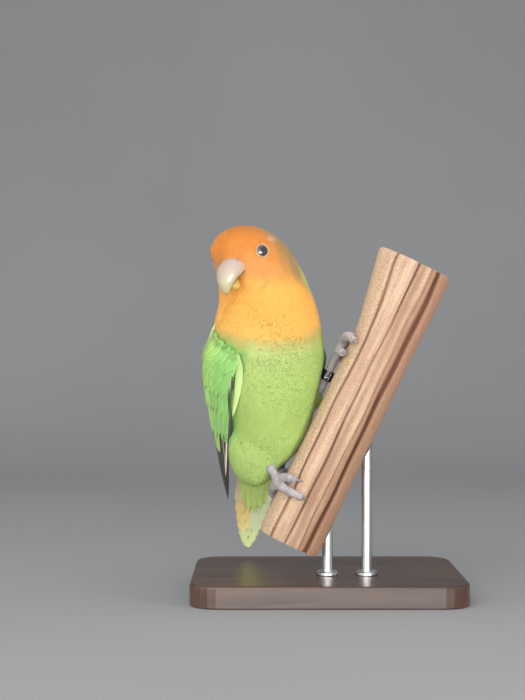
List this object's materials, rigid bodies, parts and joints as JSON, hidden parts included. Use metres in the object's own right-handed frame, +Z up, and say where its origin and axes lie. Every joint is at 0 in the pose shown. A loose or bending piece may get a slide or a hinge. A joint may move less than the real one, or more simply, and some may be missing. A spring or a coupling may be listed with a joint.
{
  "type": "peach-faced lovebird display model",
  "caption": "Still, life-size peach-faced lovebird that grips a cut length of grooved branch with both feet, held above a flat display base by short rods.",
  "frame": {"origin": "centre of the stand base's underside, on the floor", "axes": "+Z up, +X to the right of somebody who faces the bird's breast, +Y away from them"},
  "size_m": [0.124, 0.088, 0.1698],
  "materials": {
    "orange": "short soft feathers, deep orange on the forehead and paler on the cheek",
    "bib": "short soft feathers, apricot orange",
    "green": "soft contour feathers, yellow-green",
    "wing_green": "overlapping wing feathers, green with dark flight feathers",
    "tail_green": "overlapping tail feathers, green with a yellow-orange band",
    "bill": "pale horn, satin",
    "eye": "wet dark brown",
    "foot": "grey granular scales",
    "claw": "dark grey horn",
    "leg_ring": "black anodised band",
    "branch": "weathered, grooved, dry",
    "stand_wood": "dark stain, satin",
    "stand_steel": "brushed"
  },
  "bodies": {
    "root": {"bill_lower": "bill", "bill_upper": "bill", "claw_left_hind_inner": "claw", "claw_left_hind_outer": "claw", "claw_left_inner": "claw", "claw_left_outer": "claw", "claw_right_hind_inner": "claw", "claw_right_hind_outer": "claw", "claw_right_inner": "claw", "claw_right_outer": "claw", "eye_left": "eye", "eye_right": "eye", "foot_left": "foot", "foot_right": "foot", "head": "orange", "leg_ring": "leg_ring", "neck": "bib", "perch": "branch", "stand_base": "stand_wood", "stand_rod_lower": "stand_steel", "stand_rod_upper": "stand_steel", "tail": "tail_green", "tarsus_left": "foot", "tarsus_right": "foot", "thigh_left": "green", "thigh_right": "green", "torso": "green", "wing_left": "wing_green", "wing_right": "wing_green"}
  },
  "joints": []
}
